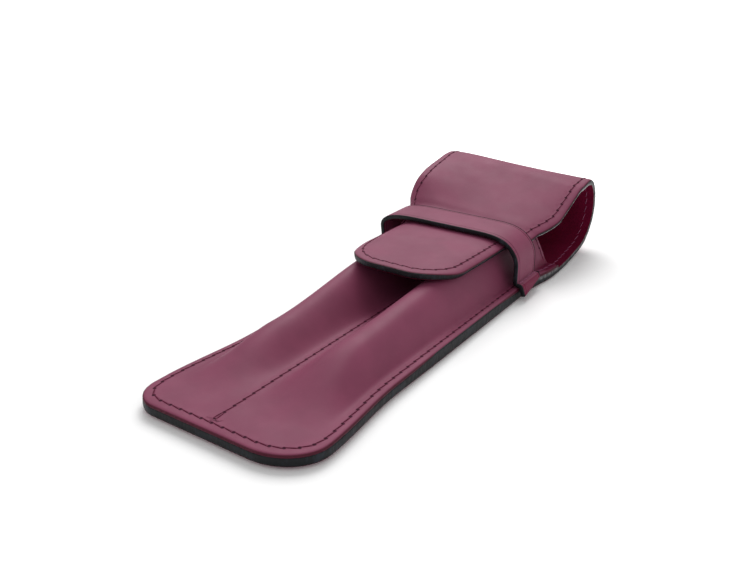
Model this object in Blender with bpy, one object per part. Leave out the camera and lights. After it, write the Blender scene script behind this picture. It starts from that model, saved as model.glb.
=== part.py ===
"""Double pen case in leather, lying on its back.

A moulded front panel forms two pen channels over a flat back. The back leather runs on past
the mouth, curls up in a loop, comes forward over the channels as a flap, and its tongue is
tucked under a sewn keeper strap. Metres, +Z up, +Y towards the loop, toe at -Y.
The origin is the middle of the case's box, on the surface that it lies on.
"""

import math

import bmesh
import bpy
from mathutils import Vector

# Leather: thickness of each piece, and the gap kept between neighbouring pieces
back_leather = 0.0012
back_lining_leather = 0.0007
front_lining_leather = 0.0005
front_leather = 0.0010
strap_leather = 0.0016
seat_gap = 0.0003

# Plan of the pouch, measured from the toe
case_width = 0.0600
knee_width = 0.0556
waist_width = 0.0566
loop_width = 0.0590
foot_from_toe = 0.0130
knee_from_toe = 0.0460
mouth_from_toe = 0.1550
left_toe_corner_width = 0.0090
left_toe_corner_length = 0.0090
right_toe_corner_width = 0.0160
right_toe_corner_length = 0.0130

# Where the left edge isn't as far from the middle line as the right one
left_toe_reach = 0.0292
left_knee_reach = 0.0268
left_shoulder_reach = 0.0288
left_root_reach = 0.0279
left_waist_reach = 0.0240

# Moulded pen channels, which lean outwards; the land between them is a little left of the middle
channel_height = 0.0128
left_knee_height = 0.0076
right_knee_height = 0.0096
channel_start_from_toe = 0.0110
channel_full_from_toe = 0.1000
channel_lean = 0.0020
side_flange_width = 0.0044
centre_land_width = 0.0024
centre_land_from_middle = -0.0015
inner_crown_power = 2.0
inner_skirt_power = 2.0
outer_crown_power = 2.6
outer_skirt_power = 1.5

# Side profile of the long leather: flat rest, lift, loop, slope, shoulder, dip and tongue
rest_length = 0.1592
lift_radius = 0.1200
lift_degrees = 9.0
loop_radius = 0.0157
slope_degrees = 12.4
shoulder_radius = 0.0140
shoulder_degrees = 42.6
dip_radius = 0.0060
tongue_length = 0.0567

# Flap: widths along it, rounded tip, droop of its sides and tilt down to the right
slope_width = 0.0586
shoulder_width = 0.0556
tongue_root_width = 0.0458
tongue_waist_width = 0.0430
tip_width = 0.0405
tip_corner_width = 0.0140
tip_corner_length = 0.0150
crest_droop = 0.0015
slope_droop = 0.0028
tongue_droop = 0.0022
droop_power = 6
crest_tilt = 0.0026
slope_tilt = 0.0048
shoulder_tilt = 0.0030
left_shoulder_rise = 0.0030
left_tuck = 0.0032
rise_power = 2
tuck_power = 8

# Where the long leather is divided so that it can roll open
neck_from_toe = 0.1585
first_roll_heading = 50.0
second_roll_heading = 136.0

# Keeper strap
strap_from_toe = 0.1238
strap_width = 0.0146
strap_left_reach = 0.0303
strap_right_reach = 0.0277
strap_left_lean = 0.0018
strap_left_foot = 0.0005
strap_right_foot = 0.0031
strap_arch_power = 8.0
strap_clearance = 0.0009
tongue_clearance = 0.0007

# Mesh spacing
flat_step = 0.0100
curl_step = 0.0028
dip_step = 0.0018
moulded_step = 0.0076
corner_rows = 6
flap_columns = 12
back_columns = 6
flange_columns = 2
channel_columns = 14
strap_arch_columns = 24
strap_rows = 2
edge_crowding = 0.3

# Worked out from the above
lining_depth = back_leather + seat_gap
flap_thickness = lining_depth + back_lining_leather
front_lining_top = flap_thickness + seat_gap + front_lining_leather
stack_height = front_lining_top + seat_gap + front_leather
tongue_height = stack_height + channel_height + tongue_clearance + flap_thickness
loop_degrees = 180.0 - lift_degrees + slope_degrees
dip_degrees = slope_degrees + shoulder_degrees


def arc_fall(radius, start_degrees, end_degrees):
    """Height lost along an arc that steepens from one slope to another."""
    return radius * (math.cos(math.radians(start_degrees)) - math.cos(math.radians(end_degrees)))


# The slope is as long as it must be for the tongue to come to rest on the channels
loop_top = (
    arc_fall(lift_radius, 0.0, lift_degrees)
    + arc_fall(loop_radius, lift_degrees, 180.0 + slope_degrees)
)
bends_fall = arc_fall(shoulder_radius, slope_degrees, dip_degrees) + arc_fall(dip_radius, 0.0, dip_degrees)
slope_length = (loop_top - bends_fall - tongue_height) / math.sin(math.radians(slope_degrees))


def run(length):
    """A straight stretch of the side profile: its length and its turn."""
    return length, 0.0


def bend(radius, degrees):
    """An arc of the side profile: its length and its turn, positive when it curls up."""
    turn = math.radians(degrees)
    return radius * abs(turn), turn


profile = [
    run(rest_length),
    bend(lift_radius, lift_degrees),
    bend(loop_radius, loop_degrees),
    run(slope_length),
    bend(shoulder_radius, shoulder_degrees),
    bend(dip_radius, -dip_degrees),
    run(tongue_length),
]
profile_ends = [sum(length for length, _ in profile[: i + 1]) for i in range(len(profile))]
lift_end, loop_end, slope_end, shoulder_end, dip_end, tip_end = profile_ends[1:]


def on_profile(place):
    """Point (y, z) and heading of the outer face at a length along the profile from the toe."""
    y, z, heading = 0.0, 0.0, 0.0
    for length, turn in profile:
        step = min(place, length)
        angle = turn * step / length
        chord = step if turn == 0.0 else 2.0 * length / turn * math.sin(angle / 2.0)
        y += chord * math.cos(heading + angle / 2.0)
        z += chord * math.sin(heading + angle / 2.0)
        heading += angle
        place -= step
        if place <= 0.0:
            break
    return y, z, heading


def place_at_heading(degrees):
    """Length along the profile at which the loop has turned to this heading."""
    return lift_end + loop_radius * math.radians(degrees - lift_degrees)


# The loop's rearmost point sets the length of the case, and its middle is the origin
case_length = on_profile(place_at_heading(90.0))[0]
first_roll = place_at_heading(first_roll_heading)
second_roll = place_at_heading(second_roll_heading)
crest = place_at_heading(180.0)
strap_middle = strap_from_toe + strap_width / 2.0

# Where the flap's leather passes under the rear and front edges of the strap
strap_rear = dip_end + on_profile(dip_end)[0] - strap_from_toe - strap_width
strap_front = strap_rear + strap_width


def eased(stations, place):
    """Value at a place between (place, value) stations, easing in and out of each."""
    if place <= stations[0][0]:
        return stations[0][1]
    for (start, low), (end, high) in zip(stations, stations[1:]):
        if place <= end:
            share = (place - start) / (end - start)
            return low + (high - low) * share * share * (3.0 - 2.0 * share)
    return stations[-1][1]


right_stations = [
    (foot_from_toe, case_width / 2.0),
    (knee_from_toe, knee_width / 2.0),
    (strap_middle, waist_width / 2.0),
    (lift_end, loop_width / 2.0),
    (crest, case_width / 2.0),
    (slope_end, slope_width / 2.0),
    (shoulder_end, shoulder_width / 2.0),
    (dip_end, tongue_root_width / 2.0),
    (dip_end + strap_width, tongue_waist_width / 2.0),
    (tip_end, tip_width / 2.0),
]
left_stations = [
    (foot_from_toe, left_toe_reach),
    (knee_from_toe, left_knee_reach),
    (strap_middle, waist_width / 2.0),
    (lift_end, loop_width / 2.0),
    (crest, case_width / 2.0),
    (slope_end, slope_width / 2.0),
    (shoulder_end, left_shoulder_reach),
    (dip_end, left_root_reach),
    (strap_front, left_waist_reach),
    (tip_end, tip_width / 2.0),
]
droop_stations = [
    (second_roll, 0.0),
    (crest, crest_droop),
    (slope_end, slope_droop),
    (dip_end, tongue_droop),
]
rise_stations = [(slope_end, 0.0), (shoulder_end, left_shoulder_rise), (strap_rear, 0.0)]
tuck_stations = [
    (shoulder_end, 0.0),
    (strap_rear, left_tuck),
    (strap_front, left_tuck),
    (tip_end - tip_corner_length, 0.0),
]
tilt_stations = [
    (second_roll, 0.0),
    (crest, crest_tilt),
    (slope_end, slope_tilt),
    (shoulder_end, shoulder_tilt),
    (dip_end, 0.0),
]


def corner_cut(distance, width, length):
    """How much a rounded corner takes off the half width at a distance from its end."""
    if distance >= length:
        return 0.0
    share = 1.0 - distance / length
    return width * (1.0 - math.sqrt(1.0 - share * share))


def half_width(x, place):
    """Width of the long leather from its middle line to its edge, on the side where x is."""
    return eased(left_stations if x < 0.0 else right_stations, place)


def edges_at(place):
    """Left and right edge of the long leather at a length along it."""
    tip = corner_cut(tip_end - place, tip_corner_width, tip_corner_length)
    left_toe = corner_cut(place, left_toe_corner_width, left_toe_corner_length)
    right_toe = corner_cut(place, right_toe_corner_width, right_toe_corner_length)
    return tip + left_toe - half_width(-1.0, place), half_width(1.0, place) - tip - right_toe


def across(place, share):
    """X at a share from -1, the left edge, to 1, the right edge."""
    left, right = edges_at(place)
    return (left * (1.0 - share) + right * (1.0 + share)) / 2.0


def outer_face(x, place):
    """Point of the long leather's outer face: its sides droop and tilt, and the left one is tucked in."""
    y, z, heading = on_profile(place)
    reach = x / half_width(x, place)
    sag = eased(droop_stations, place) * reach**droop_power + eased(tilt_stations, place) * reach
    if x < 0.0:
        sag += eased(tuck_stations, place) * reach**tuck_power
        sag -= eased(rise_stations, place) * reach**rise_power
    return Vector((x, y - sag * math.sin(heading) - case_length / 2.0, z + sag * math.cos(heading)))


def long_leather_point(share, place, depth):
    """Point of the back, loop or flap, at a depth inwards from its outer face."""
    x = across(place, share)
    sideways = outer_face(x + seat_gap, place) - outer_face(x - seat_gap, place)
    along = outer_face(x, place + seat_gap) - outer_face(x, place - seat_gap)
    return outer_face(x, place) + sideways.cross(along).normalized() * depth


def axis_point(place):
    """Point on the middle of the outer face, on which a moving piece has its origin."""
    return outer_face(0.0, place)


def channel_rise(x, from_toe):
    """Height of the moulded front above its flange."""
    beside = x - centre_land_from_middle
    side = math.copysign(1.0, beside)
    land = centre_land_width / 2.0
    foot = half_width(x, from_toe) - side_flange_width - centre_land_from_middle * side
    reach = abs(beside)
    if not land < reach < foot:
        return 0.0
    knee_height = right_knee_height if beside > 0.0 else left_knee_height
    stations = [
        (channel_start_from_toe, 0.0),
        (knee_from_toe, knee_height),
        (channel_full_from_toe, channel_height),
    ]
    height = eased(stations, from_toe)
    peak = (foot + land) / 2.0 + channel_lean
    if reach < peak:
        share = (peak - reach) / (peak - land)
        return height * (1.0 - share**inner_crown_power) ** inner_skirt_power
    share = (reach - peak) / (foot - peak)
    return height * (1.0 - share**outer_crown_power) ** outer_skirt_power


def moulded_point(x, from_toe, depth):
    """Point of the moulded front, at a depth inwards from its outer face."""
    rise_across = channel_rise(x + seat_gap, from_toe) - channel_rise(x - seat_gap, from_toe)
    rise_along = channel_rise(x, from_toe + seat_gap) - channel_rise(x, from_toe - seat_gap)
    normal = Vector((-rise_across, -rise_along, 2.0 * seat_gap)).normalized()
    top = Vector((x, from_toe - case_length / 2.0, stack_height + channel_rise(x, from_toe)))
    return top - normal * depth


def even_places(start, end, step):
    """Evenly spaced places from start to end, about a step apart."""
    count = max(1, math.ceil((end - start) / step - 0.001))
    return [start + (end - start) * i / count for i in range(count + 1)]


def corner_places(start, length):
    """Places that crowd towards the start of a rounded corner."""
    angles = [math.pi / 2.0 * i / corner_rows for i in range(corner_rows)]
    return [start + length * (1.0 - math.cos(angle)) for angle in angles]


def toe_places(end, step):
    """Places from the toe to an end, crowded in the toe's corners."""
    return corner_places(0.0, right_toe_corner_length) + even_places(right_toe_corner_length, end, step)


def tip_places(start):
    """Places from a start on the loop to the flap's tip, crowded in the tip's corners."""
    corner = [tip_end - place for place in reversed(corner_places(0.0, tip_corner_length))]
    places = even_places(start, crest, curl_step)
    places += even_places(crest, slope_end, curl_step * 1.5)[1:]
    places += even_places(slope_end, dip_end, dip_step)[1:]
    places += even_places(dip_end, strap_rear, dip_step)[1:]
    places += even_places(strap_rear, tip_end - tip_corner_length, flat_step)[1:]
    return places + corner


def crowded_shares(count):
    """Shares from -1 to 1 across the leather, closer together towards its edges."""
    even = [2.0 * i / count - 1.0 for i in range(count + 1)]
    return [share * (1.0 + edge_crowding * (1.0 - share * share)) for share in even]


def leather_material(name, colour, roughness):
    """Principled leather of one colour."""
    material = bpy.data.materials.new(name)
    material.use_nodes = True
    shader = material.node_tree.nodes["Principled BSDF"]
    shader.inputs["Base Color"].default_value = (*colour, 1.0)
    shader.inputs["Roughness"].default_value = roughness
    shader.inputs["Metallic"].default_value = 0.0
    material.diffuse_color = (*colour, 1.0)
    return material


def sheet(name, columns, rows, point, thickness, side, material, origin=Vector()):
    """Leather piece: a grid laid on a surface, then thickened to one side of it."""
    grid = bmesh.new()
    bmesh.ops.create_grid(grid, x_segments=len(columns) - 1, y_segments=len(rows) - 1, size=1.0)
    for vertex in grid.verts:
        column = round((vertex.co.x + 1.0) / 2.0 * (len(columns) - 1))
        row = round((vertex.co.y + 1.0) / 2.0 * (len(rows) - 1))
        vertex.co = point(columns[column], rows[row]) - origin
    mesh = bpy.data.meshes.new(name)
    grid.to_mesh(mesh)
    grid.free()
    mesh.materials.append(material)
    mesh.shade_smooth()
    piece = bpy.data.objects.new(name, mesh)
    piece.location = origin
    bpy.context.collection.objects.link(piece)
    solidify = piece.modifiers.new("thickness", "SOLIDIFY")
    solidify.thickness = thickness
    solidify.offset = side
    solidify.use_even_offset = True
    return piece


def long_leather(name, lining_name, columns, rows, lining_material, origin=Vector()):
    """Stretch of the back, loop or flap between two places along it, and its lining.

    Each is thickened away from the gap between them, so the gap stays even where they curve.
    """
    for piece, depth, thickness, side, material in (
        (name, back_leather, back_leather, -1.0, plum),
        (lining_name, lining_depth, back_lining_leather, 1.0, lining_material),
    ):
        sheet(
            piece,
            crowded_shares(columns),
            rows,
            lambda share, place: long_leather_point(share, place, depth),
            thickness,
            side,
            material,
            origin,
        )


def moulded_columns():
    """Column addresses: 0 to 1 is the centre land, 1 to 2 the channel, 2 to 3 the flange."""
    channel = [1.0 + i / channel_columns for i in range(channel_columns)]
    flange = [2.0 + i / flange_columns for i in range(flange_columns + 1)]
    right = channel + flange
    return [-address for address in reversed(right)] + [0.0] + right


def moulded_x(address, from_toe):
    """X of a column address on the moulded front, drawn in at the toe's corners."""
    half = half_width(address, from_toe)
    land = centre_land_width / 2.0
    foot = half - side_flange_width - centre_land_from_middle * math.copysign(1.0, address)
    reach = abs(address)
    if reach <= 1.0:
        beside = land * reach
    elif reach <= 2.0:
        beside = land + (foot - land) * (reach - 1.0)
    else:
        beside = foot + side_flange_width * (reach - 2.0)
    left, right = edges_at(from_toe)
    drawn_in = right / half if address > 0.0 else -left / half
    return (centre_land_from_middle + math.copysign(beside, address)) * drawn_in


def moulded(name, rows, depth, thickness, material):
    """Moulded front leather or its lining."""
    return sheet(
        name,
        moulded_columns(),
        rows,
        lambda address, from_toe: moulded_point(moulded_x(address, from_toe), from_toe, depth),
        thickness,
        -1.0,
        material,
    )


def strap_outline():
    """Points (x, z) of the strap's outer face, from its left foot over the arch to its right foot."""
    foot_top = stack_height + seat_gap + strap_leather
    rise = tongue_height + strap_clearance + strap_leather - foot_top
    points = [(-strap_left_reach - strap_left_foot, foot_top)]
    for i in range(strap_arch_columns + 1):
        angle = math.pi * i / strap_arch_columns
        reach = abs(math.cos(angle)) ** (2.0 / strap_arch_power)
        lift = abs(math.sin(angle)) ** (2.0 / strap_arch_power)
        x = -reach * strap_left_reach if angle < math.pi / 2.0 else reach * strap_right_reach
        sag = tongue_droop * (x / half_width(x, strap_rear)) ** droop_power
        lean = strap_left_lean * (1.0 - lift) * min(x, 0.0) / strap_left_reach
        points.append((x - lean, foot_top + (rise - sag) * lift))
    return points + [(strap_right_reach + strap_right_foot, foot_top)]


def keeper_strap(name, material):
    """Band arched over the flap's tongue, with a foot turned out on each side flange."""
    start = strap_from_toe - case_length / 2.0
    return sheet(
        name,
        strap_outline(),
        even_places(start, start + strap_width, strap_width / strap_rows),
        lambda outline, y: Vector((outline[0], y, outline[1])),
        strap_leather,
        -1.0,
        material,
    )


for old in list(bpy.data.objects):
    bpy.data.objects.remove(old)

plum = leather_material("plum_leather", (0.270, 0.110, 0.150), 0.45)
dark_plum = leather_material("dark_plum_lining", (0.090, 0.012, 0.025), 0.60)

neck_rows = even_places(neck_from_toe + seat_gap, first_roll - seat_gap, curl_step * 1.5)
fold_rows = even_places(first_roll + seat_gap, second_roll - seat_gap, curl_step)
back_rows = toe_places(neck_from_toe - seat_gap, flat_step)
flap_rows = tip_places(second_roll + seat_gap)

long_leather("back_panel", "back_lining", back_columns, back_rows, dark_plum)
neck_origin = axis_point(neck_from_toe)
long_leather("neck_leather", "neck_lining", flap_columns, neck_rows, dark_plum, neck_origin)
first_axis = axis_point(first_roll)
long_leather("fold_leather", "fold_lining", flap_columns, fold_rows, dark_plum, first_axis)
second_axis = axis_point(second_roll)
long_leather("flap_leather", "flap_lining", flap_columns, flap_rows, plum, second_axis)

front_rows = toe_places(mouth_from_toe, moulded_step)
moulded("front_panel", front_rows, 0.0, front_leather, plum)
moulded("front_lining", front_rows, front_leather + seat_gap, front_lining_leather, dark_plum)
keeper_strap("keeper_strap", plum)
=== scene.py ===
"""Double pen case of smooth plum leather with black painted edges, lying on its back.

Every piece lies on or close to the surfaces of the CAD solids, so their driving sizes are repeated
here, in metres, and a few are changed a little to follow the photograph. The leather's own plan is
flat: x across it, and its length from the toe along it.
"""

import functools
import math

import bmesh
import bpy
from mathutils import Matrix, Vector, kdtree, noise


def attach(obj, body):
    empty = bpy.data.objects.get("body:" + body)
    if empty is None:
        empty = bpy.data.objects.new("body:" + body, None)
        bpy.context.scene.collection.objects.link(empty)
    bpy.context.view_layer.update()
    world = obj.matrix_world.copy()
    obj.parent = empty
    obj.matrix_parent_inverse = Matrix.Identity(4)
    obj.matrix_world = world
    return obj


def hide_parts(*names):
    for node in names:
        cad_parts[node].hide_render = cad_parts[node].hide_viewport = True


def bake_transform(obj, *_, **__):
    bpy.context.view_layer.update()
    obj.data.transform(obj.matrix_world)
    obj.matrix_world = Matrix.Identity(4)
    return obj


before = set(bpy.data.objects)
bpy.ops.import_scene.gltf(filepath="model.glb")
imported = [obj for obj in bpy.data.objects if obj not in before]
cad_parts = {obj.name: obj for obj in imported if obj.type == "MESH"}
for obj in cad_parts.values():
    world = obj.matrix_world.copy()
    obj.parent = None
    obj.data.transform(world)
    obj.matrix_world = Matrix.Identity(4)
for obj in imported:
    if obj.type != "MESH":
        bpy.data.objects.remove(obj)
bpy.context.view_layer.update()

# Leather layers, from the outer face inwards
outer_leather = 0.0012
lining_leather = 0.0007
front_lining_leather = 0.0005
front_leather = 0.0010
strap_leather = 0.0016
gap = 0.0003
lining_depth = outer_leather + gap
flap_thickness = lining_depth + lining_leather
stack_height = flap_thickness + gap + front_lining_leather + gap + front_leather

# Side profile of the long leather: length and turn of each stretch
rest_length = 0.1592
lift_radius, lift_turn = 0.1200, math.radians(9.0)
loop_radius = 0.0157
slope_turn = math.radians(21.0)
shoulder_radius, shoulder_turn = 0.0140, math.radians(8.0)
dip_radius = 0.0080
tongue_length, past_tip = 0.0561, 0.0020
channel_height = 0.0128
tongue_clearance = 0.0010
tongue_height = stack_height + channel_height + tongue_clearance + flap_thickness
dip_turn = slope_turn + shoulder_turn

# Pouch: its mouth, rounded corners, and the moulded front's flange, land and channels
mouth = 0.1550
left_corner, right_corner = (0.0090, 0.0090), (0.0160, 0.0130)
tip_corner = (0.0140, 0.0150)
knee = 0.0460
knee_heights = (0.0076, 0.0096)
channel_start, channel_full = 0.0110, 0.1000
side_flange, centre_land = 0.0044, 0.0024
centre_x, channel_lean = -0.0015, 0.0020

# The back curls up a little off the table round the toe, which leaves a dark gap under its edge
edge_lift, lift_reach = [(0.0300, 0.0008), (0.0700, 0.00035)], 0.0050

# Keeper strap, whose right end is a tab bent down over the pouch's edge
strap_start, strap_width = 0.1238, 0.0146
strap_left_reach, strap_right_reach = 0.0303, 0.0277
strap_left_lean = 0.0018
strap_left_foot = 0.0005
strap_tab, strap_tab_bend = 0.0032, 70
strap_rear_tab_share = 0.12
strap_powers = (14.0, 7.0)
strap_clearance, strap_sag = 0.0006, 0.0022
crease_inset, crease_width, crease_depth = 0.0015, 0.0003, 0.00016

# Towards the mouth the front's flange is skived thinner, but not its channels above this rise
skived_length, skived_share = 0.0160, 0.35
skived_rise = 0.0030
front_thickness = stack_height - flap_thickness

# Cut edges: how far the faces fall away there, within what reach, and the coat of paint on them
front_round, strap_round, round_reach = 0.00055, 0.00035, 0.0009
paint_coat, brush_marks = 0.00012, 0.00006

# Seams: spacing of the stitches, how far they run inside the edge, and where they start and stop
stitch = 0.0038
side_inset, flap_inset, mouth_inset = 0.0023, 0.0030, 0.0026
extra_toe_inset, toe_inset_reach = 0.0006, 0.0120
side_seam_gap, centre_seam_start, mouth_seam_reach = 0.0008, 0.0046, 0.0247

# Each stitch: its thread and slant, half its length as a share of the spacing, its height in thread
# radii, and how far the two strands of a double one are beside the seam
thread_radius, thread_slant = 0.00016, 0.00030
stitch_half_length, stitch_height = 0.47, 1.2
strand_offset = 0.00042

# Lengths and numbers of the steps that lines and grids are made in
edge_step, strap_step, search_step = 0.0005, 0.0006, 0.00025
back_row_step, roll_row_step = 0.0014, 0.0009
front_row_step, lining_row_step = 0.0010, 0.0030
joining_step = 0.00005
side_steps, corner_steps, mouth_steps, arch_steps = 160, 60, 200, 800
land_steps, channel_steps, crowded_steps, strap_steps = 4, 34, 16, 8

# How far ahead of the nearest point on a line is taken to be past the line's end
past_end = 0.0004


def arc_fall(radius, start, end):
    """Height lost along an arc that steepens from one slope to another."""
    return radius * (math.cos(start) - math.cos(end))


loop_top = arc_fall(lift_radius, 0.0, lift_turn) + arc_fall(loop_radius, lift_turn, math.pi + slope_turn)
bends_fall = arc_fall(shoulder_radius, slope_turn, dip_turn) + arc_fall(dip_radius, 0.0, dip_turn)
slope_length = (loop_top - bends_fall - tongue_height) / math.sin(slope_turn)
loop_turn = math.pi - lift_turn + slope_turn

# The last stretch runs on past the tip, for the points of the paint there
profile = [
    (rest_length, 0.0),
    (lift_radius * lift_turn, lift_turn),
    (loop_radius * loop_turn, loop_turn),
    (slope_length, 0.0),
    (shoulder_radius * shoulder_turn, shoulder_turn),
    (dip_radius * dip_turn, -dip_turn),
    (tongue_length + past_tip, 0.0),
]
ends = [sum(length for length, _ in profile[: i + 1]) for i in range(len(profile))]
lift_end, dip_end = ends[1], ends[5]
tip_end = dip_end + tongue_length


@functools.cache
def on_profile(place):
    """Point (y, z) and heading of the outer face at a length along the profile from the toe."""
    y, z, heading = 0.0, 0.0, 0.0
    for length, turn in profile:
        step = min(place, length)
        angle = turn * step / length
        chord = step if turn == 0.0 else 2.0 * length / turn * math.sin(angle / 2.0)
        y += chord * math.cos(heading + angle / 2.0)
        z += chord * math.sin(heading + angle / 2.0)
        heading += angle
        place -= step
        if place <= 0.0:
            break
    return y, z, heading


def at_heading(degrees):
    """Length along the profile at which the loop has turned to this heading."""
    return lift_end + loop_radius * (math.radians(degrees) - lift_turn)


case_length = on_profile(at_heading(90.0))[0]
second_roll, crest = at_heading(136.0), at_heading(180.0)
flap_middle, flap_low = dip_end - 0.0170, dip_end - 0.0075
strap_middle = strap_start + strap_width / 2.0
strap_rear = dip_end + on_profile(dip_end)[0] - strap_start - strap_width
strap_front = strap_rear + strap_width


def smooth(share):
    """Share from 0 to 1, easing in and out."""
    share = min(1.0, max(0.0, share))
    return share * share * (3.0 - 2.0 * share)


def eased(stations, place):
    """Value at a place between (place, value) stations, easing in and out of each."""
    if place <= stations[0][0]:
        return stations[0][1]
    for (start, low), (end, high) in zip(stations, stations[1:]):
        if place <= end:
            return low + (high - low) * smooth((place - start) / (end - start))
    return stations[-1][1]


# How the long leather's half widths change along it, and how its sides leave the profile
right_reaches = [
    (0.0130, 0.0300),
    (knee, 0.0278),
    (strap_middle, 0.0283),
    (mouth - 0.0040, 0.0305),
    (lift_end, 0.0297),
    (crest, 0.0300),
    (flap_middle, 0.0295),
    (dip_end + 0.0020, 0.0240),
    (dip_end + strap_width, 0.0215),
    (tip_end, 0.02025),
]
left_reaches = [
    (0.0130, 0.0292),
    (knee, 0.0268),
    (strap_middle, 0.0283),
    (lift_end, 0.0295),
    (crest, 0.0300),
    (flap_middle, 0.0298),
    (flap_low, 0.0304),
    (dip_end, 0.0286),
    (strap_front, 0.0240),
    (tip_end, 0.02025),
]
droops = [(second_roll, 0.0), (crest, 0.0012), (flap_middle, 0.0018), (dip_end, 0.0022)]
tilts = [(second_roll, 0.0), (crest, 0.0026), (flap_middle, 0.0034), (strap_front, 0.0)]
rises = [(crest, 0.0), (flap_middle, 0.0030), (strap_rear, 0.0)]
tucks = [
    (flap_middle + 0.0030, 0.0),
    (strap_rear, 0.0032),
    (strap_front, 0.0032),
    (tip_end - tip_corner[1], 0.0),
]


@functools.cache
def bend_of(place):
    """Left and right reach, droop, tilt, left rise and left tuck of the leather at a length along it."""
    return [eased(stations, place) for stations in (left_reaches, right_reaches, droops, tilts, rises, tucks)]


def corner_cut(distance, corner):
    """How much a rounded corner takes off the half width at a distance from its end."""
    width, length = corner
    if distance >= length:
        return 0.0
    share = 1.0 - max(distance, 0.0) / length
    return width * (1.0 - math.sqrt(max(0.0, 1.0 - share * share)))


def edges_at(place):
    """Left and right edge of the long leather at a length along it."""
    left, right = bend_of(place)[:2]
    tip = corner_cut(tip_end - place, tip_corner)
    return tip + corner_cut(place, left_corner) - left, right - tip - corner_cut(place, right_corner)


def outer_face(x, place):
    """Point of the long leather's outer face: its sides droop and tilt, and the left one is tucked in."""
    y, z, heading = on_profile(place)
    left, right, droop, tilt, rise, tuck = bend_of(place)
    reach = x / (left if x < 0.0 else right)
    sag = droop * reach**6 + tilt * reach
    if x < 0.0:
        sag += tuck * reach**8 - rise * reach**2
    return Vector((x, y - sag * math.sin(heading) - case_length / 2.0, z + sag * math.cos(heading)))


def outside(x, place):
    """Point of the outer face, and the unit vectors sideways, along and out of the leather there."""
    sideways = (outer_face(x + gap, place) - outer_face(x - gap, place)).normalized()
    along = (outer_face(x, place + gap) - outer_face(x, place - gap)).normalized()
    return outer_face(x, place), sideways, along, along.cross(sideways).normalized()


def inside(x, place):
    """The same on the lining's face, whose outwards is into the loop."""
    point, sideways, along, outwards = outside(x, place)
    return point - outwards * flap_thickness, sideways, along, -outwards


def channel_rise(x, from_toe):
    """Height of the moulded front above its flange."""
    side = 1 if x > centre_x else 0
    outwards = 2 * side - 1
    reach, land = abs(x - centre_x), centre_land / 2.0
    foot = bend_of(from_toe)[side] - side_flange - centre_x * outwards
    if not land < reach < foot:
        return 0.0
    heights = [(channel_start, 0.0), (knee, knee_heights[side]), (channel_full, channel_height)]
    height = eased(heights, from_toe)
    # A channel's inner side swells gently out of the land, and its outer side falls more steeply
    peak = (foot + land) / 2.0 + channel_lean
    if reach < peak:
        return height * (1.0 - ((peak - reach) / (peak - land)) ** 2) ** 2
    return height * (1.0 - ((reach - peak) / (foot - peak)) ** 2.6) ** 1.5


def thickness_left(x, from_toe):
    """Share of the front's thickness that skiving leaves there."""
    skiving = skived_share * smooth(1.0 - (mouth - from_toe) / skived_length)
    return 1.0 - skiving * max(0.0, 1.0 - channel_rise(x, from_toe) / skived_rise)


def front_height(x, from_toe):
    """Height of the moulded front's face."""
    return flap_thickness + front_thickness * thickness_left(x, from_toe) + channel_rise(x, from_toe)


def on_front(x, from_toe):
    """Point of the moulded front's face, and the unit vectors sideways, along and outwards."""
    rise_across = front_height(x + gap, from_toe) - front_height(x - gap, from_toe)
    rise_along = front_height(x, from_toe + gap) - front_height(x, from_toe - gap)
    sideways = Vector((2.0 * gap, 0.0, rise_across)).normalized()
    along = Vector((0.0, 2.0 * gap, rise_along)).normalized()
    top = Vector((x, from_toe - case_length / 2.0, front_height(x, from_toe)))
    return top, sideways, along, sideways.cross(along).normalized()


# Lines on the flat leather: the edges all round, and the seams inside them
def offset(line, inset, toe_inset=0.0):
    """Line moved to its left by an inset, which may grow towards the toe."""
    moved = []
    for i, point in enumerate(line):
        run = (line[min(i + 1, len(line) - 1)] - line[max(i - 1, 0)]).normalized()
        extra = toe_inset * max(0.0, 1.0 - point.y / toe_inset_reach)
        moved.append(point + Vector((-run.y, run.x)) * (inset + extra))
    return moved


def rounded_end(start, at_toe):
    """Line down one side, round the toe or the tip and up the other side, with the leather on its left."""
    stops = []
    corners = (left_corner, right_corner) if at_toe else (tip_corner, tip_corner)
    for side, (_, length) in enumerate(corners):
        places = [start + (length - start) * i / side_steps for i in range(side_steps)]
        turns = [math.pi / 2.0 * i / corner_steps for i in range(corner_steps + 1)]
        places += [length * (1.0 - math.sin(turn)) for turn in turns]
        places = places if at_toe else [tip_end - place for place in places]
        stops.append([Vector((edges_at(place)[side], place)) for place in places])
    left, right = stops
    flat_end = [left[-1].lerp(right[-1], i / corner_steps) for i in range(1, corner_steps)]
    line = left + flat_end + list(reversed(right))
    return line if at_toe else list(reversed(line))


def even(line, step, surface=None):
    """Line resampled at about even steps, measured on a surface if one is given."""
    solid = [surface(*point)[0] if surface else point for point in line]
    runs = [0.0]
    for before, after in zip(solid, solid[1:]):
        runs.append(runs[-1] + (after - before).length)
    count = max(1, round(runs[-1] / step))
    stops, at = [], 0
    for i in range(count + 1):
        target = runs[-1] * i / count
        while at < len(runs) - 2 and runs[at + 1] < target:
            at += 1
        length = runs[at + 1] - runs[at]
        stops.append(line[at].lerp(line[at + 1], (target - runs[at]) / length if length else 0.0))
    return stops


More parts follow.
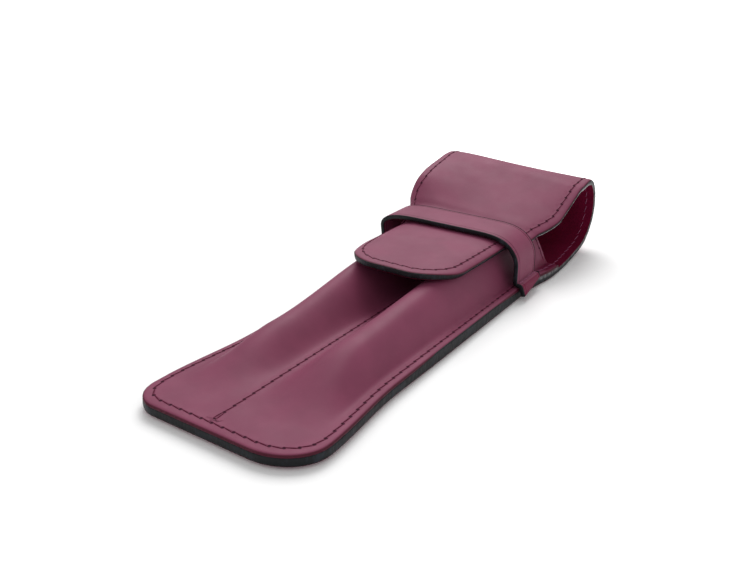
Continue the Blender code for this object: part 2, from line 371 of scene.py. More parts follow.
pouch_edge = even(rounded_end(mouth, at_toe=True), edge_step)
flap_edge = even(rounded_end(tip_end - mouth, at_toe=False), edge_step)
side_seam = offset(rounded_end(mouth - side_seam_gap, at_toe=True), side_inset, extra_toe_inset)
side_seam = even(side_seam, stitch)
centre_seam = [Vector((centre_x, place)) for place in (centre_seam_start, mouth - mouth_inset)]
centre_seam = even(centre_seam, stitch)
steps = range(-mouth_steps, mouth_steps + 1)
mouth_seam = [Vector((mouth_seam_reach * i / mouth_steps, mouth - mouth_inset)) for i in steps]
mouth_seam = even(mouth_seam, stitch, on_front)
flap_seam = even(offset(rounded_end(tip_end - mouth, at_toe=False), flap_inset), stitch, outside)


class Lines:
    """Lines on the flat leather that can be asked what lies nearest to a point."""

    def __init__(self, *lines):
        self.stops = []
        for line in lines:
            for run, (before, after) in enumerate(zip(line, line[1:])):
                ahead = after - before
                steps = max(1, round(ahead.length / search_step))
                for i in range(steps):
                    self.stops.append((before + ahead * i / steps, ahead.normalized(), run + i / steps))
            self.stops.append((line[-1], (line[-1] - line[-2]).normalized(), len(line) - 1.0))
        self.tree = kdtree.KDTree(len(self.stops))
        for i, (point, _, _) in enumerate(self.stops):
            self.tree.insert((*point, 0.0), i)
        self.tree.balance()

    def nearest(self, point):
        """Run along the nearest line in its own steps, the signed distance beside it, and the distance.

        Past the end of a line both distances are the same but for the sign.
        """
        _, i, far = self.tree.find((*point, 0.0))
        stop, ahead, run = self.stops[i]
        beside = (point - stop).dot(Vector((ahead.y, -ahead.x)))
        along = (point - stop).dot(ahead)
        if abs(along) >= past_end:
            beside = math.copysign(far, beside)
        return run + along / stitch, beside, far


all_edges = Lines(pouch_edge, flap_edge)
long_seams = Lines(side_seam, centre_seam, flap_seam)
front_seams = Lines(side_seam, centre_seam, mouth_seam)


# Materials
def linear(code):
    """Linear colour of an sRGB hex code."""
    parts = [int(code[i : i + 2], 16) / 255.0 for i in (0, 2, 4)]
    return [c / 12.92 if c <= 0.04045 else ((c + 0.055) / 1.055) ** 2.4 for c in parts] + [1.0]


def add(material, kind, inputs, **settings):
    """Adds a node with its settings. An input is a plain value, or the node or socket that feeds it."""
    node = material.node_tree.nodes.new("ShaderNode" + kind)
    for name, value in settings.items():
        setattr(node, name, value)
    for name, value in inputs.items():
        if isinstance(value, bpy.types.Node):
            value = next(socket for socket in value.outputs if socket.enabled)
        if isinstance(value, bpy.types.NodeSocket):
            material.node_tree.links.new(value, node.inputs[name])
        else:
            node.inputs[name].default_value = value
    return node


def new_material(name):
    """Material with an empty node tree."""
    material = bpy.data.materials.new(name)
    material.use_nodes = True
    material.node_tree.nodes.clear()
    return material


def per_mm(size):
    """Noise scale whose blotches are about so many millimetres wide."""
    return 500.0 / size


def smooth_calf(name):
    """Full-grain calf, drum-dyed and plated: an even plum with a soft sheen and hardly any grain.

    The seams press a fine groove and holes into it, both darkened with painted shade. Its edges are
    burnished dark crimson, with painted shade where they round over, and where it is skived the
    crimson of the dye shows. Its creases are darkened with painted shade.
    """
    made = new_material(name)
    place = add(made, "TexCoord", {}).outputs["Object"]
    mottle = add(made, "TexNoise", {"Vector": place, "Scale": per_mm(7.0), "Detail": 4.0})
    mottle = add(made, "MapRange", {0: mottle, 1: 0.35, 2: 0.65}, interpolation_type="SMOOTHSTEP")
    colour = add(made, "Mix", {0: mottle, 6: linear("7C3953"), 7: linear("833D58")}, data_type="RGBA")

    # Seams: a shallow groove and a hole at each end of a stitch, darkened as painted shade.
    # Both stop beyond a seam's end
    run = add(made, "Attribute", {}, attribute_name="seam_run").outputs["Fac"]
    side = add(made, "Attribute", {}, attribute_name="seam_side").outputs["Fac"]
    far = add(made, "Attribute", {}, attribute_name="seam_far").outputs["Fac"]
    beyond = add(made, "Math", {0: far, 1: 0.8}, operation="SUBTRACT")
    beside = add(made, "Math", {0: side}, operation="ABSOLUTE")
    beside = add(made, "Math", {0: beside, 1: beyond}, operation="MAXIMUM")
    phase = add(made, "Math", {0: run, 1: 0.5}, operation="PINGPONG")
    ahead = add(made, "Math", {0: phase, 1: stitch * 1000.0}, operation="MULTIPLY")
    spot = add(made, "CombineXYZ", {0: beside, 1: ahead})
    spot = add(made, "VectorMath", {0: spot}, operation="LENGTH").outputs["Value"]
    hole = {0: spot, 1: 0.34, 2: 0.68, 3: 1.0, 4: 0.0}
    hole = add(made, "MapRange", hole, interpolation_type="SMOOTHSTEP")
    groove = {0: beside, 1: 0.05, 2: 0.45, 3: 1.0, 4: 0.0}
    groove = add(made, "MapRange", groove, interpolation_type="SMOOTHSTEP")
    shade = add(made, "Math", {0: groove, 1: 0.30}, operation="MULTIPLY")
    shade = add(made, "Math", {0: shade, 1: hole}, operation="MAXIMUM")
    colour = add(made, "Mix", {0: shade, 6: colour, 7: linear("36001C")}, data_type="RGBA")

    # Creases darkened as painted shade, skived leather, and burnished edges with painted shade where
    # they round over
    pressed = add(made, "Attribute", {}, attribute_name="pressed").outputs["Fac"]
    crease_shade = add(made, "Math", {0: pressed, 1: 0.8}, operation="MULTIPLY")
    colour = add(made, "Mix", {0: crease_shade, 6: colour, 7: linear("4A1028")}, data_type="RGBA")
    skived = add(made, "Attribute", {}, attribute_name="skived").outputs["Fac"]
    bare = add(made, "MapRange", {0: skived, 1: 0.04, 2: 0.20}, interpolation_type="SMOOTHSTEP")
    colour = add(made, "Mix", {0: bare, 6: colour, 7: linear("6E0E38")}, data_type="RGBA")
    rim = add(made, "Attribute", {}, attribute_name="rim").outputs["Fac"]
    # The rim's dark crimson is partly burnish and partly painted shade on the rounding
    burnish_and_shade = {0: rim, 1: 0.12, 2: 0.55, 3: 1.0, 4: 0.0}
    burnish_and_shade = add(made, "MapRange", burnish_and_shade, interpolation_type="SMOOTHSTEP")
    colour = add(made, "Mix", {0: burnish_and_shade, 6: colour, 7: linear("4A0420")}, data_type="RGBA")

    # Relief: the leather puckers up between the holes, and has a fine grain and slow waves
    grain = {"Vector": place, "Scale": per_mm(0.5), "Detail": 3.0, "Roughness": 0.6}
    grain = add(made, "TexNoise", grain)
    waves = add(made, "TexNoise", {"Vector": place, "Scale": per_mm(11.0), "Detail": 2.0})
    swell = {0: beside, 1: 0.4, 2: 2.2, 3: 1.0, 4: 0.0}
    swell = add(made, "MapRange", swell, interpolation_type="SMOOTHSTEP")
    pucker = add(made, "Math", {0: swell, 1: phase}, operation="MULTIPLY")
    relief = add(made, "Math", {0: pucker, 1: 0.16}, operation="MULTIPLY")
    for height, share in ((groove, -0.12), (hole, -0.05), (waves, 0.08), (grain, 0.016)):
        relief = add(made, "Math", {0: height, 1: share, 2: relief}, operation="MULTIPLY_ADD")
    bump = add(made, "Bump", {"Strength": 1.0, "Distance": 0.001, "Height": relief})
    sheen = add(made, "TexNoise", {"Vector": place, "Scale": per_mm(3.0), "Detail": 3.0})
    gloss = add(made, "MapRange", {0: sheen, 1: 0.3, 2: 0.7, 3: 0.56, 4: 0.62})
    gloss = add(made, "Math", {0: shade, 1: 0.35, 2: gloss}, operation="MULTIPLY_ADD", use_clamp=True)
    shader = {
        "Base Color": colour,
        "Roughness": gloss,
        "Normal": bump,
        "IOR": 1.45,
        "Specular IOR Level": 0.32,
    }
    add(made, "OutputMaterial", {"Surface": add(made, "BsdfPrincipled", shader)})
    return made


def lining_split(name):
    """Thin dyed split, left matt: a deeper crimson than the outside, with a short soft nap."""
    made = new_material(name)
    place = add(made, "TexCoord", {}).outputs["Object"]
    mottle = add(made, "TexNoise", {"Vector": place, "Scale": per_mm(2.5), "Detail": 5.0})
    colour = add(made, "Mix", {0: mottle, 6: linear("580420"), 7: linear("760C34")}, data_type="RGBA")
    nap = {"Vector": place, "Scale": per_mm(0.5), "Detail": 4.0, "Roughness": 0.7}
    nap = add(made, "TexNoise", nap)
    bump = add(made, "Bump", {"Strength": 0.5, "Distance": 0.0003, "Height": nap})
    shader = {
        "Base Color": colour,
        "Roughness": 0.85,
        "Normal": bump,
        "IOR": 1.45,
        "Specular IOR Level": 0.1,
    }
    add(made, "OutputMaterial", {"Surface": add(made, "BsdfPrincipled", shader)})
    return made


def edge_coat(name):
    """Black edge paint on cut leather: fibre ridges, grey blotches, and a painted light grey reflection."""
    made = new_material(name)
    place = add(made, "TexCoord", {}).outputs["Object"]
    upright = add(made, "Mapping", {"Vector": place, "Scale": (1.0, 1.0, 0.25)})
    fibres = {"Vector": upright, "Scale": per_mm(0.45), "Detail": 4.0, "Roughness": 0.7}
    fibres = add(made, "TexNoise", fibres)
    lumps = add(made, "TexNoise", {"Vector": place, "Scale": per_mm(3.0), "Detail": 3.0})
    greying = add(made, "Math", {0: fibres, 1: lumps}, operation="MULTIPLY")
    greying = add(made, "MapRange", {0: greying, 1: 0.22, 2: 0.42}, interpolation_type="SMOOTHSTEP")
    colour = add(made, "Mix", {0: greying, 6: linear("080A0F"), 7: linear("232830")}, data_type="RGBA")
    # Painted reflection: where wear asks, the paint turns light grey, broken up by its fibres
    wear = add(made, "Attribute", {}, attribute_name="wear").outputs["Fac"]
    wear = add(made, "Math", {0: wear, 1: fibres}, operation="MULTIPLY")
    wear = add(made, "MapRange", {0: wear, 1: 0.15, 2: 0.60}, interpolation_type="SMOOTHSTEP")
    colour = add(made, "Mix", {0: wear, 6: colour, 7: linear("B0ACAE")}, data_type="RGBA")
    relief = add(made, "Math", {0: fibres, 1: 0.35, 2: lumps}, operation="MULTIPLY_ADD")
    bump = add(made, "Bump", {"Strength": 0.8, "Distance": 0.0004, "Height": relief})
    gloss = add(made, "MapRange", {0: fibres, 1: 0.3, 2: 0.7, 3: 0.45, 4: 0.65})
    shader = {
        "Base Color": colour,
        "Roughness": gloss,
        "Normal": bump,
        "IOR": 1.45,
        "Specular IOR Level": 0.30,
    }
    add(made, "OutputMaterial", {"Surface": add(made, "BsdfPrincipled", shader)})
    return made


def waxed_thread(name, dark, light):
    """Waxed polyester sewing thread, with a slight gloss on its twisted strands."""
    made = new_material(name)
    place = add(made, "TexCoord", {}).outputs["Object"]
    strands = add(made, "TexNoise", {"Vector": place, "Scale": per_mm(0.3), "Detail": 2.0})
    colour = add(made, "Mix", {0: strands, 6: linear(dark), 7: linear(light)}, data_type="RGBA")
    bump = add(made, "Bump", {"Strength": 0.4, "Distance": 0.0001, "Height": strands})
    shader = {
        "Base Color": colour,
        "Roughness": 0.75,
        "Normal": bump,
        "IOR": 1.50,
        "Specular IOR Level": 0.2,
    }
    add(made, "OutputMaterial", {"Surface": add(made, "BsdfPrincipled", shader)})
    return made


plum_calf = smooth_calf("smooth_plum_calf")
crimson_split = lining_split("crimson_lining_split")
black_edge = edge_coat("black_edge_paint")
# One thread made twice: a darker copy with painted shade, for thread sunk in its groove, and a paler copy with
# painted light
thread_painted_shade = waxed_thread("waxed_thread_painted_shade", "480420", "681038")
thread_painted_light = waxed_thread("waxed_thread_painted_light", "8A4668", "A86888")


# Sheets of leather
def new_piece(name, shape, material):
    """Object made from a bmesh, smooth all over."""
    mesh = bpy.data.meshes.new(name)
    shape.to_mesh(mesh)
    shape.free()
    mesh.materials.append(material)
    mesh.shade_smooth()
    piece = bpy.data.objects.new(name, mesh)
    bpy.context.collection.objects.link(piece)
    return piece


def grid_piece(name, rows, columns, place, thickness, material, **values):
    """Closed sheet: place(station, below) gives its points, on its face and at its thickness below.

    A value has a number for each station, which the points keep for the material to read.
    """
    grid = bmesh.new()
    grid.verts.layers.int.new("station")
    layers = {value: grid.verts.layers.float.new(value) for value in values}
    station = grid.verts.layers.int["station"]
    bmesh.ops.create_grid(grid, x_segments=columns - 1, y_segments=rows - 1, size=1.0)
    for vertex in grid.verts:
        across, along = ((vertex.co[i] + 1.0) / 2.0 * (count - 1) for i, count in ((0, columns), (1, rows)))
        vertex[station] = round(along) * columns + round(across)
        for value, layer in layers.items():
            vertex[layer] = values[value][vertex[station]]
    face = grid.verts[:] + grid.edges[:] + grid.faces[:]
    below = bmesh.ops.extrude_face_region(grid, geom=face, use_keep_orig=True)["geom"]
    below = {part for part in below if isinstance(part, bmesh.types.BMVert)}
    for vertex in grid.verts:
        vertex.co = place(vertex[station], thickness if vertex in below else 0.0)
    grid.verts.layers.int.remove(station)
    bmesh.ops.recalc_face_normals(grid, faces=grid.faces)
    return new_piece(name, grid, material)


def rounding(distance, drop, reach=round_reach):
    """How far a surface falls away near its edge."""
    share = max(0.0, 1.0 - distance / reach)
    return drop * share * share


# Columns near a long edge, crowded where it is rounded, and with one under each seam
margin = [0.0, 0.0002, 0.00045, 0.0008, 0.0012, 0.0017, side_inset, flap_inset, 0.0037, side_flange]


def places_between(start, end, step):
    """Evenly spaced places, with a very short first and last step so that pieces meet smoothly."""
    count = max(2, round((end - start) / step))
    inner = [start + (end - start) * i / count for i in range(1, count)]
    return [start, start + joining_step] + inner + [end - joining_step, end]


def crowded(length):
    """Places that crowd towards a rounded end."""
    turns = [math.pi / 2.0 * i / crowded_steps for i in range(crowded_steps)]
    return [length * (1.0 - math.cos(turn)) for turn in turns]


def long_columns(place, middle):
    """X of each column across the long leather, crowded at its edges."""
    left, right = edges_at(place)
    inner_left, inner_right = left + margin[-1], right - margin[-1]
    xs = [left + reach for reach in margin]
    xs += [inner_left + (inner_right - inner_left) * i / middle for i in range(1, middle)]
    return xs + [right - reach for reach in reversed(margin)]


def front_columns(from_toe):
    """X of each column across the moulded front, crowded at the edges and round the centre seam."""
    sides = []
    for side, edge in enumerate(edges_at(from_toe)):
        outwards = 2 * side - 1
        reach = bend_of(from_toe)[side] - centre_x * outwards
        share = (edge - centre_x) / reach
        land, foot = centre_land / 2.0, reach - side_flange
        xs = [centre_x + share * land * i / land_steps for i in range(1, land_steps)]
        steps = range(channel_steps + 1)
        xs += [centre_x + share * (land + (foot - land) * i / channel_steps) for i in steps]
        xs += [edge + step * (xs[-1] - edge) / margin[-1] for step in reversed(margin[:-1])]
        sides.append(xs)
    return list(reversed(sides[0])) + [centre_x] + sides[1]


def sheet(
    name,
    rows,
    columns_at,
    surface,
    depth,
    thickness,
    material,
    seams,
    drops=((0.0, 0.0),),
    reach=round_reach,
    open_end=None,
):
    """Sheet of leather at a depth below a surface, told how far each point is from seams and edges.

    Within reach of an edge its face falls away by drops, given as stations along the leather. An
    open end is one more edge, straight across.
    """
    flat = [Vector((x, place)) for place in rows for x in columns_at(place)]
    faces = [surface(*point) for point in flat]
    rims = [all_edges.nearest(point)[2] for point in flat]
    shares = [1.0] * len(flat)
    if open_end:
        rims = [min(rim, open_end - point.y) for rim, point in zip(rims, flat)]
    if surface is on_front:
        shares = [thickness_left(*point) for point in flat]

    def place(station, below):
        point, _, _, outwards = faces[station]
        fall = depth + (below or rounding(rims[station], eased(drops, flat[station].y), reach))
        return point - outwards * fall * shares[station]

    near = [seams.nearest(point) for point in flat]
    return grid_piece(
        name,
        len(rows),
        len(flat) // len(rows),
        place,
        thickness,
        material,
        seam_run=[run for run, _, _ in near],
        seam_side=[beside * 1000.0 for _, beside, _ in near],
        seam_far=[far * 1000.0 for _, _, far in near],
        rim=[rim * 1000.0 for rim in rims],
        skived=[1.0 - share for share in shares],
    )


# The long leather is one piece, made in three stretches because each bends with one joint. A
# stretch has the bodies that it bends between, and where along the leather that bend starts and ends
first_cut, second_cut = 0.1740, 0.2020
span_of = {"back": (mouth, first_cut), "roll": (first_cut, second_cut), "flap": (second_cut, tip_end)}
side_signs = {"left": -1.0, "right": 1.0}
toe_rows = crowded(right_corner[1])
tip_rows = [tip_end - place for place in reversed(crowded(tip_corner[1]))]
stretches = {
    "back": ("pouch", "neck", mouth, 0.1650),
    "roll": ("neck", "fold", 0.1780, 0.2000),
    "flap": ("fold", "flap", 0.2030, 0.2220),
}
rows_of = {
    "back": toe_rows + places_between(right_corner[1], first_cut, back_row_step),
    "roll": places_between(first_cut, second_cut, roll_row_step),
    "flap": places_between(second_cut, tip_end - tip_corner[1], roll_row_step) + tip_rows,
}
nodes_of = {"back": ("back_panel", "neck_leather"), "roll": ("fold_leather",), "flap": ("flap_leather",)}
lining_nodes_of = {"back": ("back_lining", "neck_lining"), "roll": ("fold_lining",), "flap": ("flap_lining",)}


def follow(piece, stretch):
    """Bakes a piece's placement into its mesh; its stretch's bodies and bend are passed along but not used."""
    before, after, bend_start, bend_end = stretches[stretch]
    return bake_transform(piece, before, after, start=outer_face(0.0, bend_start), end=outer_face(0.0, bend_end))


for stretch, rows in rows_of.items():
    leather = sheet(
        f"long_leather_{stretch}",
        rows,
        functools.partial(long_columns, middle=44),
        outside,
        0.0,
        lining_depth,
        plum_calf,
        long_seams,
        edge_lift,
        lift_reach if stretch == "back" else round_reach,
    )
    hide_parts(*nodes_of[stretch])
    follow(leather, stretch)
    lining = sheet(
        f"long_lining_{stretch}",
        rows,
        functools.partial(long_columns, middle=24),
        outside,
        lining_depth,
        lining_leather,
        crimson_split,
        long_seams,
    )
    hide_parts(*lining_nodes_of[stretch])
    follow(lining, stretch)

front = sheet(
    "moulded_front",
    toe_rows + places_between(right_corner[1], mouth, front_row_step),
    front_columns,
    on_front,
    0.0,
    front_leather + gap,
    plum_calf,
    front_seams,
    [(0.0, front_round)],
    open_end=mouth,
)
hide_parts("front_panel")
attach(front, "pouch")
front_inside = sheet(
    "moulded_lining",
    toe_rows + places_between(right_corner[1], mouth, lining_row_step),
    front_columns,
    on_front,
    front_leather + gap,
    front_lining_leather + gap,
    crimson_split,
    front_seams,
)
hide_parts("front_lining")
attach(front_inside, "pouch")


# Keeper strap: an arch with square shoulders, and at its right end the tab, longer at the front
def strap_line():
    """Points (x, z) of the strap's outer face, from its left foot to the end of its right tab."""
    foot_top = stack_height + gap + strap_leather
    rise = tongue_height + strap_clearance + strap_leather - foot_top
    left, right = bend_of(strap_rear)[:2]
    line = [Vector((-strap_left_reach - strap_left_foot, foot_top))]
    for i in range(arch_steps + 1):
        angle = math.pi * i / arch_steps
        power = strap_powers[0 if angle < math.pi / 2.0 else 1]
        reach, lift = abs(math.cos(angle)) ** (2.0 / power), abs(math.sin(angle)) ** (2.0 / power)
        x = -reach * strap_left_reach if angle < math.pi / 2.0 else reach * strap_right_reach
        sag = strap_sag * (x / (left if x < 0.0 else right)) ** 6
        lean = strap_left_lean * (1.0 - lift) * min(x, 0.0) / strap_left_reach
        line.append(Vector((x - lean, foot_top + (rise - sag) * lift)))
    bend = Vector((bend_of(strap_middle)[1] + gap, foot_top - strap_leather))
    for degrees in range(0, strap_tab_bend + 1, 5):
        turned = math.radians(degrees)
        line.append(bend + Vector((math.sin(turned), math.cos(turned))) * strap_leather)
    line.append(line[-1] + Vector((math.cos(turned), -math.sin(turned))) * strap_tab)
    return even(line, strap_step)


strap_profile = strap_line()
strap_normals = []
for i in range(len(strap_profile)):
    run = strap_profile[min(i + 2, len(strap_profile) - 1)] - strap_profile[max(i - 2, 0)]
    strap_normals.append(Vector((-run.y, run.x)).normalized())
tab_start = len(strap_profile) - 1 - round(strap_tab / strap_step)


def strap_point(column, from_front, depth):
    """Point of the strap at a column along it, a distance from its front edge and a depth."""
    tab_share = 1.0 - (1.0 - strap_rear_tab_share) * min(1.0, max(0.0, from_front / strap_width))
    along = column if column < tab_start else tab_start + (column - tab_start) * tab_share
    before, after = math.floor(along), math.ceil(along)
    point = strap_profile[before].lerp(strap_profile[after], along - before)
    point -= strap_normals[before].lerp(strap_normals[after], along - before) * depth
    return Vector((point.x, strap_start + from_front - case_length / 2.0, point.y))


# Rows near a long edge in mm, crowded where it is rounded and round the crease
margin_mm = [0.0, 0.15, 0.35, 0.6, 0.9, 1.2, 1.35, 1.5, 1.65, 1.8, 2.2, 2.8, 3.6]
strap_margin = [reach / 1000.0 for reach in margin_mm]
inner_width = strap_width - 2.0 * strap_margin[-1]
strap_rows = strap_margin + [strap_margin[-1] + inner_width * i / strap_steps for i in range(1, strap_steps)]
strap_rows += [strap_width - row for row in reversed(strap_margin)]
strap_rims = [min(row, strap_width - row) for row in strap_rows]
strap_pressed = [max(0.0, 1.0 - abs(rim - crease_inset) / crease_width) for rim in strap_rims]


def strap_place(station, below):
    """Point of the strap, with a crease pressed along each edge of its face."""
    row, column = divmod(station, len(strap_profile))
    fall = rounding(strap_rims[row], strap_round) + crease_depth * strap_pressed[row]
    return strap_point(column, strap_rows[row], below or fall)


# No seam is near the strap's face, whose material reads distances in mm
stations, far_away = len(strap_rows) * len(strap_profile), 9.0
strap = grid_piece(
    "keeper_strap_leather",
    len(strap_rows),
    len(strap_profile),
    strap_place,
    strap_leather,
    plum_calf,
    seam_run=[0.5] * stations,
    seam_side=[far_away] * stations,
    seam_far=[far_away] * stations,
    rim=[rim * 1000.0 for rim in strap_rims for _ in strap_profile],
    skived=[float(i > tab_start - 2) for _ in strap_rims for i in range(len(strap_profile))],
    pressed=[press for press in strap_pressed for _ in strap_profile],
)
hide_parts("keeper_strap")
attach(strap, "pouch")


# Painted edges. Their section is how far out the paint is in mm, at shares of the edge's height
section = [(-0.10, 0.03), (0.04, 0.06), (0.10, 0.14), (0.14, 0.32), (0.15, 0.5)]
section += [(0.14, 0.68), (0.10, 0.86), (0.04, 0.94), (-0.10, 0.97)]


def painted_edge(name, count, place, wear=None):
    """Coat of paint on a cut edge: place(i, out, share) gives its points over the leather's thickness.

    It may carry a painted reflection where that share is over about a third, by an amount for
    each point along it.
    """

    def point(station, below):
        row, column = divmod(station, count)
        out, share = section[row]
        base = place(column, 0.0, share)
        rough = sum(noise.noise(base * scale) * brush_marks for scale in (900.0, 300.0))
        return place(column, out / 1000.0 + rough - below, share)

    wear = wear or [0.0] * count
    greying = [smooth((share - 0.30) / 0.30) * part for _, share in section for part in wear]
    return grid_piece(name, len(section), count, point, paint_coat, black_edge, wear=greying)


def edge_stops(line):
    """Each point of an edge, and the unit vector out of the leather."""
    stops = []
    for i, point in enumerate(line):
        run = (line[min(i + 1, len(line) - 1)] - line[max(i - 1, 0)]).normalized()
        stops.append((point, Vector((run.y, -run.x))))
    return stops


pouch_stops = edge_stops(pouch_edge)


# Share of an edge's height that stays unpainted at the top: less along the pouch's right side
toe_burnish, side_burnish, flap_burnish = 0.20, 0.04, 0.10
side_burnish_start, side_burnish_end, burnish_fade = 0.050, 0.125, 0.020


def burnished_share(point):
    """Share of the pouch's edge that stays unpainted at a point."""
    along_right = smooth((point.y - side_burnish_start) / burnish_fade) * (point.x > 0.0)
    along_right *= smooth((side_burnish_end - point.y) / burnish_fade)
    return toe_burnish - (toe_burnish - side_burnish) * along_right


def pouch_edge_place(i, out, share):
    """Point beside the pouch's edge."""
    point, outwards = pouch_stops[i]
    moved = point + outwards * out
    low, high = eased(edge_lift, point.y), front_height(*point) * (1.0 - burnished_share(point))
    return Vector((moved.x, moved.y - case_length / 2.0, low + (high - low) * share))


# The paint carries a painted reflection on the right, past the strap and round the loop
pouch_wear = [(0.1280, 0.0), (0.1400, 0.60)]
pouch_wear = [eased(pouch_wear, point.y) * (point.x > 0.0) for point, _ in pouch_stops]
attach(painted_edge("painted_edge_pouch", len(pouch_stops), pouch_edge_place, pouch_wear), "pouch")


def painted_flap_edge(name, stops, stretch):
    """Painted edge of the loop or flap."""

    def place(i, out, share):
        point, outwards = stops[i]
        face, _, _, normal = outside(*(point + outwards * out))
        return face - normal * flap_thickness * (flap_burnish + (1.0 - flap_burnish) * share)

    wear = [eased(flap_wear, point.y) * (point.x > 0.0) for point, _ in stops]
    follow(painted_edge(name, len(stops), place, wear), stretch)


flap_stops = edge_stops(flap_edge)
# Painted reflection on the loop's and flap's right edge, fullest from the crest to low on the flap
flap_wear = [(mouth, 0.50), (second_roll, 0.55), (crest, 1.0), (flap_low, 1.0), (strap_front, 0.0)]
for stretch, (start, end) in span_of.items():
    stops = [stop for stop in flap_stops if start - gap <= stop[0].y <= end + gap]
    if stretch == "flap":
        painted_flap_edge("painted_edge_flap", stops, stretch)
    else:
        for side, sign in side_signs.items():
            on_side = [stop for stop in stops if stop[0].x * sign > 0.0]
            painted_flap_edge(f"painted_edge_{stretch}_{side}", on_side, stretch)


def strap_edge_place(i, out, share, edge, direction):
    """Point beside the strap's front or rear edge."""
    return strap_point(i, edge + direction * out, strap_leather * share)


for name, edge, direction in (("front", 0.0, -1.0), ("rear", strap_width, 1.0)):
    place = functools.partial(strap_edge_place, edge=edge, direction=direction)
    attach(painted_edge(f"painted_edge_strap_{name}", len(strap_profile), place), "pouch")


# Stitches
def add_stitch(shape, start, end, surface, slant, beside_by=0.0):
    """One slanted stitch, thickest in its middle, that sinks into the hole at each end."""
    middle = start.lerp(end, 0.5)
    point, _, _, outwards = surface(*middle)
    ahead = (surface(*end)[0] - surface(*start)[0]) * stitch_half_length
    beside = ahead.cross(outwards).normalized()
    up = outwards * thread_radius * stitch_height
    axes = (beside * thread_radius, up, ahead + beside * slant)
    turned = Matrix([(*axis, 0.0) for axis in axes] + [(*(point + beside * beside_by), 1.0)]).transposed()
    bmesh.ops.create_uvsphere(shape, u_segments=6, v_segments=6, radius=1.0, matrix=turned)


def sewn(name, seam, surface, thread=thread_painted_shade):
    """Row of stitches along a seam."""
    shape = bmesh.new()
    for start, end in zip(seam, seam[1:]):
        add_stitch(shape, start, end, surface, thread_slant)
    bmesh.ops.recalc_face_normals(shape, faces=shape.faces)
    return new_piece(name, shape, thread)


# Past the strap the side seam is sewn in the paler copy of the thread, with painted light
past_strap = [point for point in side_seam if point.y > strap_start + strap_width]
side_ends = [[point for point in past_strap if point.x * sign > 0.0] for sign in side_signs.values()]
for name, seam in zip(side_signs, side_ends):
    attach(sewn(f"stitches_mouth_{name}", seam, on_front, thread_painted_light), "pouch")
for name, seam, surface in (
    ("side", side_seam[len(side_ends[0]) - 1 : 1 - len(side_ends[1])], on_front),
    ("centre", centre_seam[1:], on_front),
    ("mouth", mouth_seam, on_front),
    ("side_back", side_seam, outside),
    ("centre_back", centre_seam, outside),
):
    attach(sewn(f"stitches_{name}", seam, surface), "pouch")


def on_foot(x, from_toe):
    """Point of the right foot of the keeper strap, and the unit vectors sideways, along and upwards."""
    top = Vector((x, from_toe - case_length / 2.0, stack_height + gap + strap_leather))
    return top, Vector((1.0, 0.0, 0.0)), Vector((0.0, 1.0, 0.0)), Vector((0.0, 0.0, 1.0))


# The strap's foot is sewn in the paler copy of the thread, with painted light
foot_x, foot_ends = strap_right_reach + 0.0007, (0.04, 0.96)
foot_seam = [Vector((foot_x, strap_start + strap_width * share)) for share in foot_ends]
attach(sewn("stitches_strap_foot", even(foot_seam, stitch), on_foot, thread_painted_light), "pouch")

# The centre seam starts with a stitch sewn twice, whose two strands lean together
shape = bmesh.new()
for beside_by in (-strand_offset, strand_offset):
    add_stitch(shape, centre_seam[0], centre_seam[1], on_front, -beside_by * 0.3, beside_by)
bmesh.ops.recalc_face_normals(shape, faces=shape.faces)
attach(new_piece("stitches_centre_start", shape, thread_painted_shade), "pouch")

# The flap's seam shows the darker copy of the thread outside, and the paler copy, with painted light, inside the
# loop
for stretch, (start, end) in span_of.items():
    run = [point for point in flap_seam if start - stitch / 2.0 <= point.y <= end + stitch / 2.0]
    if stretch == "flap":
        runs = {"tip": run}
    else:
        runs = {side: [point for point in run if point.x * sign > 0.0] for side, sign in side_signs.items()}
    for side, seam in runs.items():
        follow(sewn(f"stitches_{stretch}_{side}_out", seam, outside), stretch)
        follow(sewn(f"stitches_{stretch}_{side}_in", seam, inside, thread_painted_light), stretch)


# Floor, light and camera. The floor is just below the stitches that stand out of the back
floor_size, floor_height = 4.0, -0.0002
floor_shape = bmesh.new()
bmesh.ops.create_grid(floor_shape, x_segments=1, y_segments=1, size=floor_size)
bmesh.ops.translate(floor_shape, verts=floor_shape.verts, vec=(0.0, 0.0, floor_height))
paper = new_material("white_studio_paper")
new_piece("floor", floor_shape, paper)

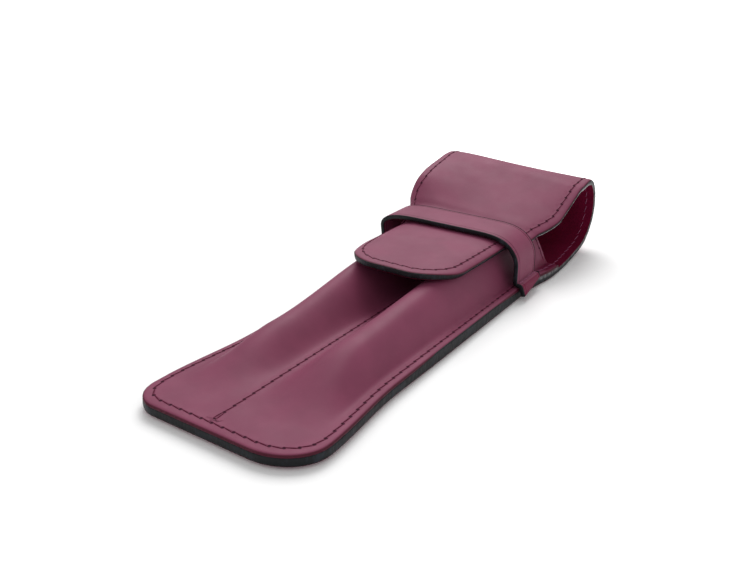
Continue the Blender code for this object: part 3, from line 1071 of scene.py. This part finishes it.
# Plain white paper. The camera sees it white, and whiter further off, but it keeps the shadow
rays = add(paper, "LightPath", {}).outputs
seen = add(paper, "Math", {0: rays["Is Camera Ray"], 1: rays["Is Glossy Ray"]}, operation="MAXIMUM")
seen = add(paper, "Math", {0: seen, 1: rays["Is Transmission Ray"]}, operation="MAXIMUM")
place = add(paper, "TexCoord", {}).outputs["Object"]
away = add(paper, "VectorMath", {0: place}, operation="LENGTH").outputs["Value"]
glow = {0: away, 1: 0.10, 2: 0.30, 3: 0.03, 4: 1.0}
glow = add(paper, "MapRange", glow, interpolation_type="SMOOTHSTEP")
glow = add(paper, "Math", {0: glow, 1: seen}, operation="MULTIPLY")
white = linear("FFFFFF")
shader = {"Base Color": white, "Roughness": 0.9, "Emission Color": white, "Emission Strength": glow}
add(paper, "OutputMaterial", {"Surface": add(paper, "BsdfPrincipled", shader)})

world = bpy.data.worlds.new("studio")
bpy.context.scene.world = world
world.use_nodes = True
world.node_tree.nodes.clear()
sky = add(world, "Background", {"Color": white, "Strength": 0.60})
backdrop = add(world, "Background", {"Color": white, "Strength": 1.0})
path = add(world, "LightPath", {})
mixed = add(world, "MixShader", {0: path.outputs["Is Camera Ray"], 1: sky, 2: backdrop})
add(world, "OutputWorld", {"Surface": mixed})

softbox = bpy.data.lights.new("softbox", "AREA")
softbox.shape = "SQUARE"
softbox.size = 0.6
softbox.energy = 6.2
lamp = bpy.data.objects.new("softbox", softbox)
lamp.location = (-0.28, 0.50, 0.74)
lamp.rotation_euler = (-lamp.location).to_track_quat("-Z", "Y").to_euler()
bpy.context.collection.objects.link(lamp)

lens = bpy.data.cameras.new("camera")
lens.sensor_width = 36.0
lens.lens = 38.68
lens.clip_start = 0.01
camera = bpy.data.objects.new("camera", lens)
camera.location = (0.13261, -0.21403, 0.12029)
looks_down, turned_left = 23.66, 34.16
camera.rotation_euler = (math.radians(90.0 - looks_down), 0.0, math.radians(turned_left))
bpy.context.collection.objects.link(camera)
bpy.context.scene.camera = camera
bpy.context.scene.view_settings.view_transform = "Standard"
